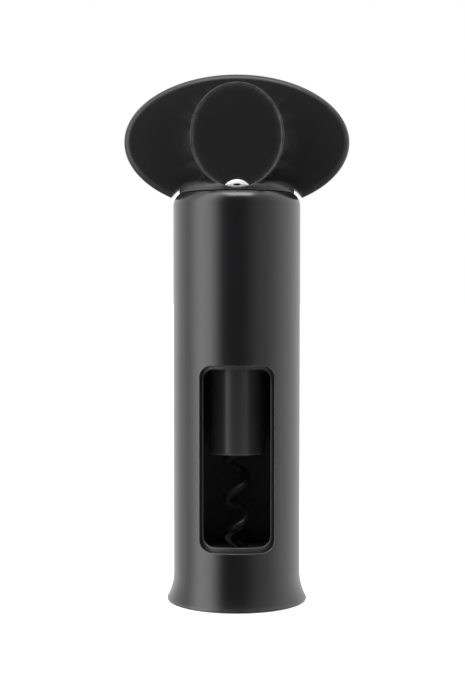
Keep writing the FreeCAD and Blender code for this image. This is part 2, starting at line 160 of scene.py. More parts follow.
def refine(outline, longest=2.6, insets=WEAR_AND_HIGHLIGHT_INSETS):
    """More points near both ends of long straight stretches, so the edge wear and the painted edge highlight
    stay at the edges.
    """
    out = []
    for i, (r0, z0) in enumerate(outline):
        r1, z1 = outline[(i + 1) % len(outline)]
        length = math.hypot(r1 - r0, z1 - z0)
        shares = [0.0]
        if length > longest:
            near = [d / length for d in insets]
            shares += near + [0.5] + [1 - t for t in reversed(near)]
        out += [(r0 + (r1 - r0) * t, z0 + (z1 - z0) * t) for t in shares]
    return out


def lathe(name, outline, segments=160, sharp=35):
    """An object turned round the Z axis from a closed (r, z) outline."""
    points, faces = lathe_mesh(refine(outline), segments)
    return make_object(name, points, faces, sharp)


def arc(cx, cz, r, a0, a1, steps):
    """Points along a circle in the (r, z) plane, angles in degrees."""
    out = []
    for i in range(steps + 1):
        a = math.radians(a0 + (a1 - a0) * i / steps)
        out.append((cx + r * math.cos(a), cz + r * math.sin(a)))
    return out


def baked_mesh(obj):
    """An object's mesh with its modifiers applied."""
    return bpy.data.meshes.new_from_object(obj.evaluated_get(bpy.context.evaluated_depsgraph_get()))


def run_boolean(obj, cutter, operation):
    """Cut or join with another object, which is used up."""
    mod = obj.modifiers.new("cut", "BOOLEAN")
    mod.operation = operation
    mod.solver = "EXACT"
    mod.object = cutter
    baked = baked_mesh(obj)
    obj.modifiers.clear()
    obj.data = baked
    bpy.data.objects.remove(cutter)
    return obj


print("helpers ready")

# %% [markdown]
# ## A wall with a rounded window
#
# The shell and the liner are both tubes with a tall window cut straight through from the front. A boolean cut
# leaves ragged shading round the corners, so the wall's points are laid out one by one: rings of points run
# from the window's rounded outline out to a square patch of the tube, and the edge itself is turned over with
# a small radius on both sides. That little radius is what catches the light as a thin line.

# %% The windowed tube
PATCH_ANGLE = 62.0
PATCH_COLUMNS = 48
PATCH_ROWS = 60
CORNER_SHARE = 8
BLENDS = (1.0, 0.8, 0.6, 0.42, 0.27, 0.15, 0.07, 0.025)
EDGE_STEPS = 6
ROW_PLAY = 1e-6


def spread(count, corner):
    """Fractions along one side of a rounded window: half an arc, a straight run, half an arc."""
    spots = []
    for i in range(count + 1):
        if i <= corner:
            spots.append(("arc0", i / corner))
        elif i >= count - corner:
            spots.append(("arc1", (count - i) / corner))
        else:
            spots.append(("run", (i - corner) / (count - 2 * corner)))
    return spots


def window_outline(half_w, z0, z1, corner_r, grow):
    """Points round the window, clockwise from its top left corner's middle, grown by an offset."""
    corners = [
        (-half_w + corner_r, z1 - corner_r),
        (half_w - corner_r, z1 - corner_r),
        (half_w - corner_r, z0 + corner_r),
        (-half_w + corner_r, z0 + corner_r),
    ]
    starts = [135, 45, -45, -135]
    sides = [PATCH_COLUMNS, PATCH_ROWS, PATCH_COLUMNS, PATCH_ROWS]
    r = corner_r + grow
    points = []
    for k in range(4):
        c0, c1 = corners[k], corners[(k + 1) % 4]
        a0, a_mid = starts[k], starts[k] - 45
        for kind, t in spread(sides[k], CORNER_SHARE)[:-1]:
            if kind == "arc0":
                a = math.radians(a0 - 45 * t)
                points.append((c0[0] + r * math.cos(a), c0[1] + r * math.sin(a)))
            elif kind == "arc1":
                a = math.radians(a_mid - 45 * (1 - t))
                points.append((c1[0] + r * math.cos(a), c1[1] + r * math.sin(a)))
            else:
                a = math.radians(a_mid)
                x = c0[0] + (c1[0] - c0[0]) * t + r * math.cos(a)
                z = c0[1] + (c1[1] - c0[1]) * t + r * math.sin(a)
                points.append((x, z))
    return points


def patch_outline(z_low, z_high):
    """Points round the square patch, as (angle, z), matching window_outline one to one."""
    a = math.radians(PATCH_ANGLE)
    corners = [(-a, z_high), (a, z_high), (a, z_low), (-a, z_low)]
    points = []
    for k, n in enumerate((PATCH_COLUMNS, PATCH_ROWS, PATCH_COLUMNS, PATCH_ROWS)):
        (a0, z0), (a1, z1) = corners[k], corners[(k + 1) % 4]
        points += [(a0 + (a1 - a0) * i / n, z0 + (z1 - z0) * i / n) for i in range(n)]
    return points


def on_tube(radius, angle, z):
    """A point on the tube, the angle measured from the front towards +X."""
    return (radius * math.sin(angle), -radius * math.cos(angle), z)


def windowed_tube(name, outer, inner, r_out, r_in, window, patch, edge, segments_back=96):
    """A tube whose outer and inner (r, z) outlines run upwards and pass the patch rows at r_out and r_in."""
    half_w, z0, z1, corner_r = window
    z_low, z_high = patch
    points, faces = [], []
    rect = patch_outline(z_low, z_high)
    count = len(rect)

    def ring(radius, grow, blend):
        hole = window_outline(half_w, z0, z1, corner_r, grow)
        base = len(points)
        for (hx, hz), (ra, rz) in zip(hole, rect):
            ha = math.asin(max(-1, min(1, hx / radius)))
            points.append(on_tube(radius, ha + (ra - ha) * blend, hz + (rz - hz) * blend))
        return base

    turns = [0.5 * math.pi * i / EDGE_STEPS for i in range(EDGE_STEPS + 1)]
    bases = [ring(r_out, edge, blend) for blend in BLENDS]
    for a in turns:
        bases.append(ring(r_out - edge * (1 - math.cos(a)), edge * (1 - math.sin(a)), 0))
    bases.append(ring(0.5 * (r_out + r_in), 0, 0))
    for a in reversed(turns):
        bases.append(ring(r_in + edge * (1 - math.cos(a)), edge * (1 - math.sin(a)), 0))
    bases += [ring(r_in, edge, blend) for blend in reversed(BLENDS)]
    for b0, b1 in zip(bases, bases[1:]):
        for i in range(count):
            j = (i + 1) % count
            faces.append((b0 + i, b0 + j, b1 + j, b1 + i))

    half = math.radians(PATCH_ANGLE)
    columns = [-half + 2 * half * i / PATCH_COLUMNS for i in range(PATCH_COLUMNS)]
    columns += [half + (2 * math.pi - 2 * half) * i / segments_back for i in range(segments_back)]
    rows = [z_low + (z_high - z_low) * i / PATCH_ROWS for i in range(PATCH_ROWS + 1)]

    def with_rows(outline, radius):
        below = [p for p in outline if p[1] < z_low - ROW_PLAY]
        above = [p for p in outline if p[1] > z_high + ROW_PLAY]
        return below + [(radius, z) for z in rows] + above

    loop = with_rows(outer, r_out) + list(reversed(with_rows(inner, r_in)))
    n = len(loop)
    base = len(points)
    for a in columns:
        for r, z in loop:
            points.append(on_tube(r, a, z))
    for c in range(len(columns)):
        d = (c + 1) % len(columns)
        for i in range(n):
            j = (i + 1) % n
            zs = (loop[i][1], loop[j][1])
            in_rows = min(zs) > z_low - ROW_PLAY and max(zs) < z_high + ROW_PLAY
            if c < PATCH_COLUMNS and in_rows:
                continue
            faces.append((base + c * n + i, base + d * n + i, base + d * n + j, base + c * n + j))
    return make_object(name, points, faces, 40)


print("window patch of", 2 * (PATCH_COLUMNS + PATCH_ROWS), "points a ring")

# %% [markdown]
# ## Body shell
#
# The outside runs from a flat foot with a rounded lip, up a hollow flare, straight up the tube and over the
# shoulder to the flat crown that the handle's flange covers.

# %% Body shell
SHELL_ROWS = (86.0, 92.0, 100.0, 110.0, 120.0, 127.0)
SHELL_IN_ROWS = (0.0, 6.0, 90.0, 110.0, 127.0)
SHELL_PATCH = (12.0, 84.0)
SHELL_EDGE = 0.32
LEDGE_BREAK = 0.3
CROWN_RING_R = 16.0

flare_c = (SHELL_R + FLARE_ARC_R, FLARE_Z)
lip_r = flare_c[0] - math.sqrt(FLARE_ARC_R**2 - (FLARE_Z - FOOT_LIP_Z) ** 2)
lip_angle = math.degrees(math.atan2(FOOT_LIP_Z - FLARE_Z, lip_r - flare_c[0])) % 360
shoulder_c = (SHELL_R - SHOULDER_R, SHOULDER_Z)
ledge_angle = math.degrees(math.acos((LEDGE_R - shoulder_c[0]) / SHOULDER_R))
crown_z = shell_top - CROWN_T
crown_corner_r = crown_z - SHOULDER_Z

shell_outer = arc(lip_r - FOOT_LIP_ROUND, FOOT_LIP_ROUND, FOOT_LIP_ROUND, -90, 0, 6)
shell_outer += arc(flare_c[0], flare_c[1], FLARE_ARC_R, lip_angle, 180, 18)
shell_outer += [(SHELL_R, z) for z in SHELL_ROWS]
shell_outer += arc(shoulder_c[0], shoulder_c[1], SHOULDER_R, 0, ledge_angle, 14)
shell_outer += [(r, shell_top) for r in (LEDGE_R - LEDGE_BREAK, CROWN_RING_R, CROWN_HOLE_R)]
shell_inner = [(SHELL_IN_R, z) for z in SHELL_IN_ROWS]
shell_inner += arc(SHELL_IN_R - crown_corner_r, SHOULDER_Z, crown_corner_r, 0, 90, 6)
shell_inner += [(CROWN_HOLE_R, crown_z)]
shell = windowed_tube(
    "shell_finish", shell_outer, shell_inner, SHELL_R, SHELL_IN_R, SHELL_WINDOW, SHELL_PATCH, SHELL_EDGE
)
print("shell:", len(shell.data.polygons), "faces")

# %% [markdown]
# ## Inner liner
#
# A second wall stands just inside the shell. Its window is a step smaller, so a thin shadow line frames the
# opening all round.

# %% Inner liner
LINER_PATCH = (17.5, 80.0)
LINER_EDGE = 0.3
liner_rows = (liner_lo, 90.0, liner_hi)
liner_outer = [(LINER_R, z) for z in liner_rows]
liner_inner = [(LINER_IN_R, z) for z in liner_rows]
liner = windowed_tube(
    "liner_finish", liner_outer, liner_inner, LINER_R, LINER_IN_R, LINER_WINDOW, LINER_PATCH, LINER_EDGE
)
print("liner:", len(liner.data.polygons), "faces")

# %% [markdown]
# ## Turned pieces inside
#
# The sleeve and the bottle seat are plain turned work. Each gets small edge radii, because a
# real machined or moulded edge is never perfectly sharp.

# %% Sleeve and seat
SLEEVE_R = 9.5
SLEEVE_IN_R = 7.9
SLEEVE_ROUND = 0.4
SEAT_CONE_R = 16.5
SEAT_HOLE_R = 13.0
SEAT_ROUND = 0.5
SEAT_LIP = [(SEAT_HOLE_R, 14.2), (13.1, 13.8)]


def ring_outline(r_out, r_in, z0, z1, round_out, round_in=0.2):
    """A ring with all four edges rounded."""
    out = arc(r_out - round_out, z0 + round_out, round_out, -90, 0, 5)
    out += arc(r_out - round_out, z1 - round_out, round_out, 0, 90, 5)
    out += arc(r_in + round_in, z1 - round_in, round_in, 90, 180, 4)
    out += arc(r_in + round_in, z0 + round_in, round_in, 180, 270, 4)
    return out


sleeve_outline = ring_outline(SLEEVE_R, SLEEVE_IN_R, sleeve_lo, sleeve_hi, SLEEVE_ROUND)
sleeve = lathe("sleeve_finish", sleeve_outline, 128, 60)
seat_lo, seat_hi = [p.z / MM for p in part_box("bottle_seat")]
seat_outline = [(SEAT_CONE_R, seat_lo), (LINER_R, seat_lo), (LINER_R, seat_hi)]
seat_outline += arc(SEAT_HOLE_R + SEAT_ROUND, seat_hi - SEAT_ROUND, SEAT_ROUND, 90, 180, 4)
seat_outline += SEAT_LIP
seat = lathe("seat_finish", seat_outline, 128)
print("sleeve", len(sleeve.data.polygons), "seat", len(seat.data.polygons), "faces")

# %% [markdown]
# ## The worm
#
# The worm follows a rule: a right-hand coil of round wire, drawn to a point below and bent in to a straight
# shank above. That suits Geometry Nodes. The tree takes a line of points, moves each one to its place on
# the coil, sets the wire's radius along the way, and sweeps a circle down the curve.

# %% The worm in Geometry Nodes
COIL_R = 3.15
COIL_PITCH = 12.4
COIL_LEFT_Z = 21.3
WIRE_R = 1.6
TIP_R = 0.18
TIP_REACH = 10.54
COIL_TOP_Z = 51.5
SHANK_START_Z = 59.4
SHANK_TOP_Z = 74.0
TIP_CUT = 0.15
TIP_SWELL = 0.9
SPINE_POINTS = 420
WIRE_SIDES = 24
worm_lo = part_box("worm")[0].z / MM


def new_tree(name, sockets):
    """A geometry tree with named inputs; gives back the tree and its two end nodes."""
    tree = bpy.data.node_groups.new(name, "GeometryNodeTree")
    tree.interface.new_socket("Geometry", in_out="INPUT", socket_type="NodeSocketGeometry")
    for label, kind, value in sockets:
        made = tree.interface.new_socket(label, in_out="INPUT", socket_type=kind)
        if value is not None:
            made.default_value = value
    tree.interface.new_socket("Geometry", in_out="OUTPUT", socket_type="NodeSocketGeometry")
    return tree, tree.nodes.new("NodeGroupInput"), tree.nodes.new("NodeGroupOutput")


def set_inputs(mod, values):
    """Set a modifier's inputs by their sockets' identifiers."""
    for item in mod.node_group.interface.items_tree:
        if item.item_type == "SOCKET" and item.in_out == "INPUT" and item.name in values:
            mod[item.identifier] = values[item.name]


def maths(tree, operation, a, b=None, c=None):
    """A Math node fed by sockets or numbers."""
    node = tree.nodes.new("ShaderNodeMath")
    node.operation = operation
    for slot, value in zip(node.inputs, (a, b, c)):
        if value is None:
            continue
        if isinstance(value, (int, float)):
            slot.default_value = value
        else:
            tree.links.new(value, slot)
    return node.outputs[0]


def map_range(tree, value, low, high, start, end, smooth=True):
    """From start to end while the value goes from low to high."""
    node = tree.nodes.new("ShaderNodeMapRange")
    node.interpolation_type = "SMOOTHSTEP" if smooth else "LINEAR"
    for label, number in zip(("From Min", "From Max", "To Min", "To Max"), (low, high, start, end)):
        node.inputs[label].default_value = number
    tree.links.new(value, node.inputs["Value"])
    return node.outputs[0]


print("worm runs from", round(worm_lo, 2), "to", SHANK_TOP_Z)

# %% [markdown]
# The coil's angle grows in step with its height, which is what makes it a screw. The radius of the coil
# fades to nothing over the top blend, so the wire swings in to the middle and then runs straight up.


# %% Worm tree
def worm_tree():
    sizes = [
        ("Coil radius", "NodeSocketFloat", COIL_R * MM),
        ("Pitch", "NodeSocketFloat", COIL_PITCH * MM),
        ("Wire radius", "NodeSocketFloat", WIRE_R * MM),
        ("Tip radius", "NodeSocketFloat", TIP_R * MM),
        ("Tip height", "NodeSocketFloat", 0.0),
        ("Top height", "NodeSocketFloat", 0.0),
        ("Finish", "NodeSocketMaterial", None),
    ]
    tree, start, end = new_tree("worm coil", sizes)
    size = start.outputs
    link = tree.links.new
    add = tree.nodes.new
    spine = add("GeometryNodeCurvePrimitiveLine")
    low = add("ShaderNodeCombineXYZ")
    high = add("ShaderNodeCombineXYZ")
    link(size["Tip height"], low.inputs["Z"])
    link(size["Top height"], high.inputs["Z"])
    link(low.outputs[0], spine.inputs["Start"])
    link(high.outputs[0], spine.inputs["End"])
    points = add("GeometryNodeResampleCurve")
    points.inputs["Count"].default_value = SPINE_POINTS
    link(spine.outputs[0], points.inputs["Curve"])
    place = add("GeometryNodeInputPosition")
    split = add("ShaderNodeSeparateXYZ")
    link(place.outputs[0], split.inputs[0])
    z = split.outputs["Z"]
    above_left = maths(tree, "SUBTRACT", z, COIL_LEFT_Z * MM)
    turns = maths(tree, "ADD", maths(tree, "DIVIDE", above_left, size["Pitch"]), 0.5)
    angle = maths(tree, "MULTIPLY", turns, 2 * math.pi)
    fade = map_range(tree, z, COIL_TOP_Z * MM, SHANK_START_Z * MM, 1.0, 0.0)
    radius = maths(tree, "MULTIPLY", size["Coil radius"], fade)
    spot = add("ShaderNodeCombineXYZ")
    link(maths(tree, "MULTIPLY", radius, maths(tree, "COSINE", angle)), spot.inputs["X"])
    link(maths(tree, "MULTIPLY", radius, maths(tree, "SINE", angle)), spot.inputs["Y"])
    link(z, spot.inputs["Z"])
    coil = add("GeometryNodeSetPosition")
    link(spot.outputs[0], coil.inputs["Position"])
    up = maths(tree, "DIVIDE", maths(tree, "SUBTRACT", z, size["Tip height"]), TIP_REACH * MM)
    clipped = maths(tree, "MINIMUM", maths(tree, "MAXIMUM", up, 0.0), 1.0)
    wave = maths(tree, "SINE", maths(tree, "MULTIPLY", clipped, 0.5 * math.pi))
    swell = maths(tree, "POWER", wave, TIP_SWELL)
    gain = maths(tree, "SUBTRACT", size["Wire radius"], size["Tip radius"])
    wire = maths(tree, "ADD", size["Tip radius"], maths(tree, "MULTIPLY", swell, gain))
    store = add("GeometryNodeStoreNamedAttribute")
    store.data_type = "FLOAT"
    store.domain = "POINT"
    store.inputs["Name"].default_value = "wire"
    link(points.outputs[0], store.inputs["Geometry"])
    link(wire, store.inputs["Value"])
    link(store.outputs[0], coil.inputs["Geometry"])
    held = add("GeometryNodeInputNamedAttribute")
    held.data_type = "FLOAT"
    held.inputs["Name"].default_value = "wire"
    circle = add("GeometryNodeCurvePrimitiveCircle")
    circle.inputs["Resolution"].default_value = WIRE_SIDES
    circle.inputs["Radius"].default_value = 1.0
    sweep = add("GeometryNodeCurveToMesh")
    sweep.inputs["Fill Caps"].default_value = True
    link(coil.outputs[0], sweep.inputs["Curve"])
    link(circle.outputs[0], sweep.inputs["Profile Curve"])
    link(held.outputs[0], sweep.inputs["Scale"])
    solid = add("GeometryNodeRealizeInstances")
    paint = add("GeometryNodeSetMaterial")
    link(sweep.outputs[0], solid.inputs[0])
    link(solid.outputs[0], paint.inputs["Geometry"])
    link(size["Finish"], paint.inputs["Material"])
    link(paint.outputs[0], end.inputs[0])
    return tree


worm_recipe = worm_tree()
print("worm tree has", len(worm_recipe.nodes), "nodes")

# %% [markdown]
# ## Oval handle
#
# The wings are one oval plate with rounded rims, thinned a little towards the tips so that the faces have a
# gentle crown. The plate is cut clear of the body's shoulder, which leaves the two narrow gaps under the
# ears. The hub is an oval barrel across the plate, and a domed flange under it covers the body's crown.
# Plate, hub and flange meet in crisp creases, so they are joined as real solids with a boolean.

# %% Handle sizes
WING_A, WING_B = 37.2, 22.35
WING_HALF_T = 3.5
WING_EDGE_R = 2.2
WING_CROWN = 0.8
EAR_GAP = 1.4
HUB_A, HUB_B = 15.0, 16.9
HUB_HALF_T = 17.5
HUB_ROUND = 0.16
POCKET_PLAY = 0.06
POCKET_BEVEL = 0.26
COVER_A, COVER_B = 14.1, 16.3
COVER_T = 2.0
COVER_SET_BACK = 0.25
FLANGE_Z0 = 134.7
FLANGE_R = 19.0
DOME_R = 52.5
DOME_TOP = 140.8
DOME_START_R = 17.6
DOME_STEPS = 15
FLANGE_ROUND = 0.3
FLANGE_SIDE = [(FLANGE_R, 135.6), (18.93, 136.1), (18.72, 136.6), (18.4, 137.06), (18.02, 137.45)]
OVAL_STEPS = 256
TURNED_STEPS = 192
WING_FACE_RINGS = 7
WING_FACE_START = 0.12
LONG_FLAT = 2.0
TOOL_DROP = 20.0
CUT_PAST = 30.0


def oval_rings(rings, steps=OVAL_STEPS, zc=HUB_Z):
    """A closed solid from ovals (half width, half height, y), with a fan at both ends."""
    points = []
    for a, b, y in rings:
        for s in range(steps):
            t = 2 * math.pi * s / steps
            points.append((a * math.cos(t), y, zc + b * math.sin(t)))
    faces = bands(len(rings), steps)
    for k in (0, len(rings) - 1):
        add_fan(points, faces, k, steps, (0, rings[k][2], zc))
    return points, faces


def rounded_rings(a, b, half_t, edge, steps=8):
    """Ovals that turn over a rounded rim on both sides."""
    rings = []
    for i in range(steps + 1):
        q = 0.5 * math.pi * i / steps
        shrink = edge * (1 - math.sin(q))
        rings.append((a - shrink, b - shrink, -half_t + edge * (1 - math.cos(q))))
    flat = half_t - edge
    if flat > LONG_FLAT:
        near, far = WEAR_AND_HIGHLIGHT_INSETS
        rings += [(a, b, y) for y in (near - flat, far - flat, 0.0, flat - far, flat - near)]
    for i in range(steps + 1):
        q = 0.5 * math.pi * (1 - i / steps)
        shrink = edge * (1 - math.sin(q))
        rings.append((a - shrink, b - shrink, half_t - edge * (1 - math.cos(q))))
    return rings


def with_faces(rings, shares=(0.1, 0.5, 0.85, 0.96)):
    """Rings across both end faces, close together near the rim."""
    a, b, y = rings[0]
    front = [(a * t, b * t, y) for t in shares]
    a, b, y = rings[-1]
    back = [(a * t, b * t, y) for t in reversed(shares)]
    return front + rings + back


def wing_plate():
    """The oval plate: full thickness near the hub, a little thinner at the rim."""
    rim_t = WING_HALF_T - WING_CROWN
    front = []
    for i in range(WING_FACE_RINGS):
        share = WING_FACE_START + (1 - WING_FACE_START) * i / WING_FACE_RINGS
        a, b = (WING_A - WING_EDGE_R) * share, (WING_B - WING_EDGE_R) * share
        front.append((a, b, -(rim_t + WING_CROWN * (1 - share**2))))
    back = [(a, b, -y) for a, b, y in reversed(front)]
    rings = front + rounded_rings(WING_A, WING_B, rim_t, WING_EDGE_R, 10) + back
    points, faces = oval_rings(rings, zc=WING_Z)
    return make_object("handle_finish", points, faces, 30)


def shoulder_tool():
    """The crown and the gap round it, turned, to be cut from the plate."""
    r = SHOULDER_R + EAR_GAP
    inner_angle = math.degrees(math.acos((FLANGE_R - shoulder_c[0]) / r))
    outline = [(AXIS_R, SHOULDER_Z - TOOL_DROP), (shoulder_c[0] + r, SHOULDER_Z - TOOL_DROP)]
    outline += arc(shoulder_c[0], shoulder_c[1], r, 0, inner_angle, 14)
    outline += [(AXIS_R, outline[-1][1])]
    return lathe("shoulder_tool", outline, TURNED_STEPS)


def flange_solid():
    """Domed flange with a rounded edge."""
    dome_c = DOME_TOP - DOME_R
    outline = [(AXIS_R, FLANGE_Z0)]
    outline += arc(FLANGE_R - FLANGE_ROUND, FLANGE_Z0 + FLANGE_ROUND, FLANGE_ROUND, -90, 0, 4)
    outline += FLANGE_SIDE
    for i in range(DOME_STEPS):
        r = DOME_START_R * (1 - i / DOME_STEPS)
        outline.append((r, dome_c + math.sqrt(DOME_R**2 - r * r)))
    outline.append((AXIS_R, DOME_TOP))
    return lathe("flange_tool", outline, TURNED_STEPS)


def hub_solid():
    """Oval barrel with small rounded rims."""
    points, faces = oval_rings(with_faces(rounded_rings(HUB_A, HUB_B, HUB_HALF_T, HUB_ROUND, 5)))
    return make_object("hub_tool", points, faces)


def pocket_tool(side, floor_y):
    """Cutter for a cover's pocket, opening out in a fine bevel at the hub's rim."""
    a, b = COVER_A + POCKET_PLAY, COVER_B + POCKET_PLAY
    wide_a, wide_b = a + POCKET_BEVEL, b + POCKET_BEVEL
    rings = [
        (wide_a, wide_b, side * CUT_PAST),
        (wide_a, wide_b, side * HUB_HALF_T),
        (a, b, side * (HUB_HALF_T - POCKET_BEVEL)),
        (a, b, side * floor_y),
    ]
    points, faces = oval_rings(rings)
    return make_object("pocket_tool", points, faces)


grip = wing_plate()
run_boolean(grip, shoulder_tool(), "DIFFERENCE")
run_boolean(grip, flange_solid(), "UNION")
run_boolean(grip, hub_solid(), "UNION")
pocket_floor = HUB_HALF_T - COVER_SET_BACK - COVER_T
for side in (-1, 1):
    run_boolean(grip, pocket_tool(side, pocket_floor), "DIFFERENCE")
soften(grip, 32)
print("handle:", len(grip.data.polygons), "faces")

# %% [markdown]
# ## Hub covers
#
# An oval plate is set into each end of the hub, a hair below the rim. Its edge is rounded, so a fine bright
# line runs round the joint. The foot of each plate is notched in an arch for the end of the cross key.

# %% Hub covers
KEY_ARCH_R = 5.0
KEY_ARCH_Z = 133.05
NOTCH_R = KEY_ARCH_R + 0.05
NOTCH_STEPS = 22
COVER_ROUND = 0.12
COVER_STEPS = 256
COVER_EDGE_STEPS = 4
COVER_FACE_SHARES = (0.1, 0.4, 0.7, 0.86, 0.96)
HALVINGS = 40


def oval_foot(x):
    """Height of the cover's oval at its foot."""
    return HUB_Z - COVER_B * math.sqrt(1 - (x / COVER_A) ** 2)


def arch_top(x, radius):
    """Height of the key's arch."""
    return KEY_ARCH_Z + math.sqrt(radius**2 - x * x)


def meeting(radius):
    """Half the width of the lens where the arch crosses the oval's foot."""
    low, high = 0.0, radius
    for _ in range(HALVINGS):
        x = 0.5 * (low + high)
        low, high = (x, high) if arch_top(x, radius) > oval_foot(x) else (low, x)
    return low


def cover_outline():
    """Round the oval from one side of the notch to the other, then back over the notch's arch."""
    half = meeting(NOTCH_R)
    start = -math.acos(half / COVER_A)
    points = []
    for i in range(COVER_STEPS):
        t = start + (math.pi - 2 * start) * i / COVER_STEPS
        points.append((COVER_A * math.cos(t), HUB_Z + COVER_B * math.sin(t)))
    for i in range(NOTCH_STEPS):
        x = -half + 2 * half * i / NOTCH_STEPS
        points.append((x, arch_top(x, NOTCH_R)))
    return points


def inset(outline, distance):
    """Move every point of an outline towards the middle, square to the outline."""
    moved = []
    n = len(outline)
    for i, (x, z) in enumerate(outline):
        dx = outline[(i + 1) % n][0] - outline[i - 1][0]
        dz = outline[(i + 1) % n][1] - outline[i - 1][1]
        nx, nz = -dz / math.hypot(dx, dz), dx / math.hypot(dx, dz)
        if nx * -x + nz * (HUB_Z - z) < 0:
            nx, nz = -nx, -nz
        moved.append((x + nx * distance, z + nz * distance))
    return moved


def cover(name, side):
    """A rounded plate, with rings across both faces."""
    outline = cover_outline()
    mid = side * (HUB_HALF_T - COVER_SET_BACK - COVER_T / 2)
    profile = [(COVER_ROUND, share, -COVER_T / 2) for share in COVER_FACE_SHARES]
    for i in range(COVER_EDGE_STEPS + 1):
        q = 0.5 * math.pi * i / COVER_EDGE_STEPS
        depth = COVER_ROUND * (1 - math.sin(q))
        profile.append((depth, 1.0, -COVER_T / 2 + COVER_ROUND * (1 - math.cos(q))))
    profile += [(depth, share, -y) for depth, share, y in reversed(profile)]
    points = []
    for depth, share, y in profile:
        for x, z in inset(outline, depth):
            points.append((x * share, y + mid, HUB_Z + (z - HUB_Z) * share))
    faces = bands(len(profile), len(outline))
    for k in (0, len(profile) - 1):
        add_fan(points, faces, k, len(outline), (0.0, profile[k][2] + mid, HUB_Z))
    return make_object(name, points, faces, 32)


front_cover = cover("front_cover_finish", -1)
rear_cover = cover("rear_cover_finish", 1)
print("covers:", len(front_cover.data.polygons), "faces each")

# %% [markdown]
# ## Cross key
#
# The key is a lens-shaped bar: an arch above and the hub's oval below. Its ends are almost flat, and blasted
# to a fine matt grain, so they gather light from all round where a polished end would only show the dark
# front. A small oval slot is sunk into each end, deep enough to look dark.

# %% Cross key
KEY_HALF_L = 17.4
KEY_DOME = 0.15
KEY_SIDE_STEPS = 40
KEY_FACE_SHARES = (0.04, 0.2, 0.4, 0.6, 0.8, 0.92, 1.0)
MARK_HALF_W = 1.24
MARK_HALF_H = 0.34
MARK_Z = 136.42
MARK_DEPTH = 3.0
MARK_STEPS = 48


def lens_outline():
    """Points round the lens where the arch overlaps the foot of the cover's oval."""
    half = meeting(KEY_ARCH_R)
    top, foot = [], []
    for i in range(KEY_SIDE_STEPS):
        x = half * math.cos(math.pi * i / KEY_SIDE_STEPS)
        top.append((x, arch_top(x, KEY_ARCH_R)))
        foot.append((-x, oval_foot(x)))
    return top + foot


def cross_key():
    """The bar from end to end, with slightly domed faces."""
    outline = lens_outline()
    mid_z = 0.5 * (min(z for _, z in outline) + max(z for _, z in outline))
    rings = [(share, -KEY_HALF_L + KEY_DOME * share**2) for share in KEY_FACE_SHARES]
    rings += [(share, -y) for share, y in reversed(rings)]
    points = []
    n = len(outline)
    for share, y in rings:
        points += [(x * share, y, mid_z + (z - mid_z) * share) for x, z in outline]
    faces = bands(len(rings), n)
    faces.append(tuple(range(n)))
    faces.append(tuple((len(rings) - 1) * n + i for i in range(n)))
    return make_object("cross_key_finish", points, faces, 40)


key = cross_key()
mark_floor = KEY_HALF_L - MARK_DEPTH
for y0, y1 in ((-CUT_PAST, -mark_floor), (mark_floor, CUT_PAST)):
    mark = [(MARK_HALF_W, MARK_HALF_H, y) for y in (y0, y1)]
    points, faces = oval_rings(mark, MARK_STEPS, MARK_Z)
    run_boolean(key, make_object("mark_tool", points, faces), "DIFFERENCE")
soften(key, 40)
print("cross key:", len(key.data.polygons), "faces")

# %% [markdown]
# ## Spindle
#
# The spindle shows when the handle is lifted: a ground rod with a collar, a plain stud on top and a stub for
# the clip. It is turned like the rest.

# %% Spindle
SPINDLE_R = 5.0
STUB_R = 3.6
STUB_TOP_Z = 62.3
COLLAR_R = 8.4
COLLAR_Z0, COLLAR_Z1 = 89.1, 91.1
COLLAR_FILLET = 0.6
MID_ROW_Z = 100.0
STUD_R = 4.0
STUD_FOOT_Z = 141.0
STUD_BREAK = 0.6
SHANK_HOLE_R = 1.62
SHANK_HOLE_Z = 75.3
BREAK = 0.3

spindle_lo, spindle_hi = [p.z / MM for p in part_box("spindle")]
spindle_outline = [
    (SHANK_HOLE_R, spindle_lo),
    (STUB_R - BREAK, spindle_lo),
    (STUB_R, spindle_lo + BREAK),
    (STUB_R, STUB_TOP_Z),
    (SPINDLE_R - BREAK, STUB_TOP_Z),
    (SPINDLE_R, STUB_TOP_Z + BREAK),
    (SPINDLE_R, COLLAR_Z0),
]
spindle_outline += arc(COLLAR_R - BREAK, COLLAR_Z0 + BREAK, BREAK, -90, 0, 3)
spindle_outline += arc(COLLAR_R - BREAK, COLLAR_Z1 - BREAK, BREAK, 0, 90, 3)
spindle_outline += arc(SPINDLE_R + COLLAR_FILLET, COLLAR_Z1 + COLLAR_FILLET, COLLAR_FILLET, 270, 180, 4)
spindle_outline += [
    (SPINDLE_R, MID_ROW_Z),
    (SPINDLE_R, STUD_FOOT_Z - BREAK),
    (SPINDLE_R - BREAK, STUD_FOOT_Z),
    (STUD_R, STUD_FOOT_Z),
    (STUD_R, spindle_hi - STUD_BREAK),
    (STUD_R - STUD_BREAK, spindle_hi),
    (AXIS_R, spindle_hi),
    (AXIS_R, SHANK_HOLE_Z),
    (SHANK_HOLE_R, SHANK_HOLE_Z - 0.1),
]
spindle = lathe("spindle_finish", spindle_outline, 96, 40)
print("spindle:", len(spindle.data.polygons), "faces")

# %% [markdown]
# ## Crown screws
#
# Three alike screws hold the crown to the bearing. They repeat round a circle, so Geometry Nodes puts one
# screw on each point of a mesh circle. Instances are realised, because an export drops them.

# %% Screws in Geometry Nodes
SCREW_PCD_R = 13.6
SCREW_HEAD_R = 2.6
SCREW_LENGTH = 7.5
SCREW_SHAFT_R = 1.25
SCREW_STEPS = 48
RECESS_R = 0.8
RECESS_WAVE = 0.12
RECESS_LOBES = 6


